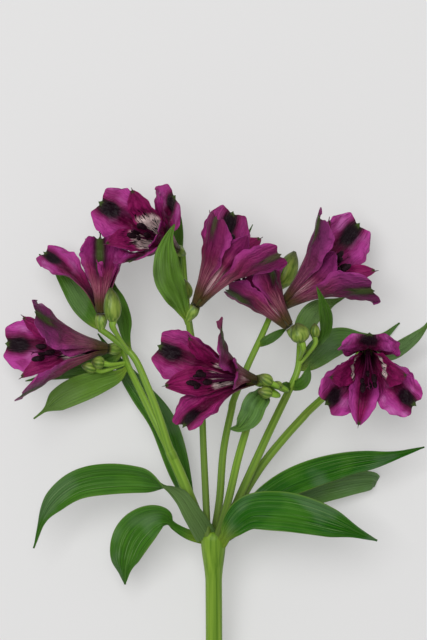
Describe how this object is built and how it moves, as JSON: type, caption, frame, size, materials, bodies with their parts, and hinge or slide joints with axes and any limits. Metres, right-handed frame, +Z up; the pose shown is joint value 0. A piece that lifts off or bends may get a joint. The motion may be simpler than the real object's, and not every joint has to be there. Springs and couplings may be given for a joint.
{
  "type": "alstroemeria stem",
  "caption": "Cut flower stem with an umbel of magenta-purple lily-like flowers, green buds and glossy lance-shaped leaves, laid on its side.",
  "frame": {"origin": "bottom centre of the whole stem's box, on the surface that it lies on", "axes": "+Y along the stem from the cut end to the flowers, +Z up from the surface, +X to the right seen from above with the flowers at the far end"},
  "size_m": [0.2178, 0.3296, 0.1172],
  "materials": {
    "stem": "satin green plant stem",
    "leaf": "glossy green leaf",
    "tepal": "velvety magenta-purple petal",
    "stamen": "matt dark purple",
    "bud": "satin ribbed green"
  },
  "bodies": {
    "root": {"main_stem": "stem", "ray_1": "stem", "ray_2": "stem", "ray_3": "stem", "ray_4": "stem", "ray_5": "stem", "ray_6": "stem", "whorl_leaf_1": "leaf", "whorl_leaf_2": "leaf", "whorl_leaf_3": "leaf", "whorl_leaf_4": "leaf", "whorl_leaf_5": "leaf", "whorl_leaf_6": "leaf", "bract_1": "leaf", "bract_2": "leaf", "bract_3": "leaf", "bract_4": "leaf", "bract_5": "leaf", "bract_6": "leaf", "bract_7": "leaf", "bract_8": "leaf", "bract_9": "leaf", "bract_10": "leaf", "bract_11": "leaf", "bract_12": "leaf", "bract_13": "leaf", "bract_14": "leaf", "bract_15": "leaf", "bloom_1": "tepal", "stamens_1": "stamen", "bloom_2": "tepal", "stamens_2": "stamen", "bloom_3": "tepal", "stamens_3": "stamen", "bloom_4": "tepal", "stamens_4": "stamen", "bloom_5": "tepal", "stamens_5": "stamen", "bloom_6": "tepal", "stamens_6": "stamen", "bloom_7": "tepal", "stamens_7": "stamen", "bloom_8": "tepal", "stamens_8": "stamen", "bud_1": "bud", "bud_2": "bud", "bud_3": "bud", "bud_4": "bud", "bud_5": "bud", "bud_6": "bud", "bud_7": "bud", "bud_8": "bud", "bud_9": "bud", "bud_10": "bud", "bud_11": "bud"}
  },
  "joints": []
}
